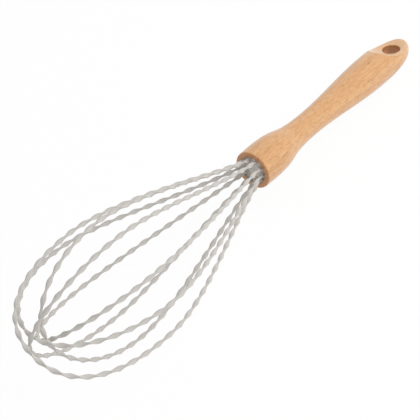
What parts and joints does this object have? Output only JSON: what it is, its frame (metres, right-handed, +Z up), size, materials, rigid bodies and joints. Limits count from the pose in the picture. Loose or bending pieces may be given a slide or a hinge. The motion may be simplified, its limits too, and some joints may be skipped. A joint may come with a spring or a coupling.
{
  "type": "balloon whisk",
  "caption": "Balloon whisk lying on its side: a turned beech handle with a dished and drilled end, and nested loops of twisted silicone strip on spring steel core wires.",
  "frame": {"origin": "centre of the bounding box on the table the whisk lies on", "axes": "+Z up from the table, +X along the whisk towards the end of its handle, the tip of the balloon towards -X"},
  "size_m": [0.3148, 0.0718, 0.0687],
  "materials": {
    "beech": "oiled, satin",
    "silicone": "matte",
    "spring_steel": "drawn",
    "resin": "cast"
  },
  "bodies": {
    "root": {"handle": "beech", "anchor_plug": "resin", "silicone_loop_1": "silicone", "silicone_loop_2": "silicone", "silicone_loop_3": "silicone", "silicone_loop_4": "silicone", "silicone_loop_5": "silicone", "core_wire_1": "spring_steel", "core_wire_2": "spring_steel", "core_wire_3": "spring_steel", "core_wire_4": "spring_steel", "core_wire_5": "spring_steel"}
  },
  "joints": []
}
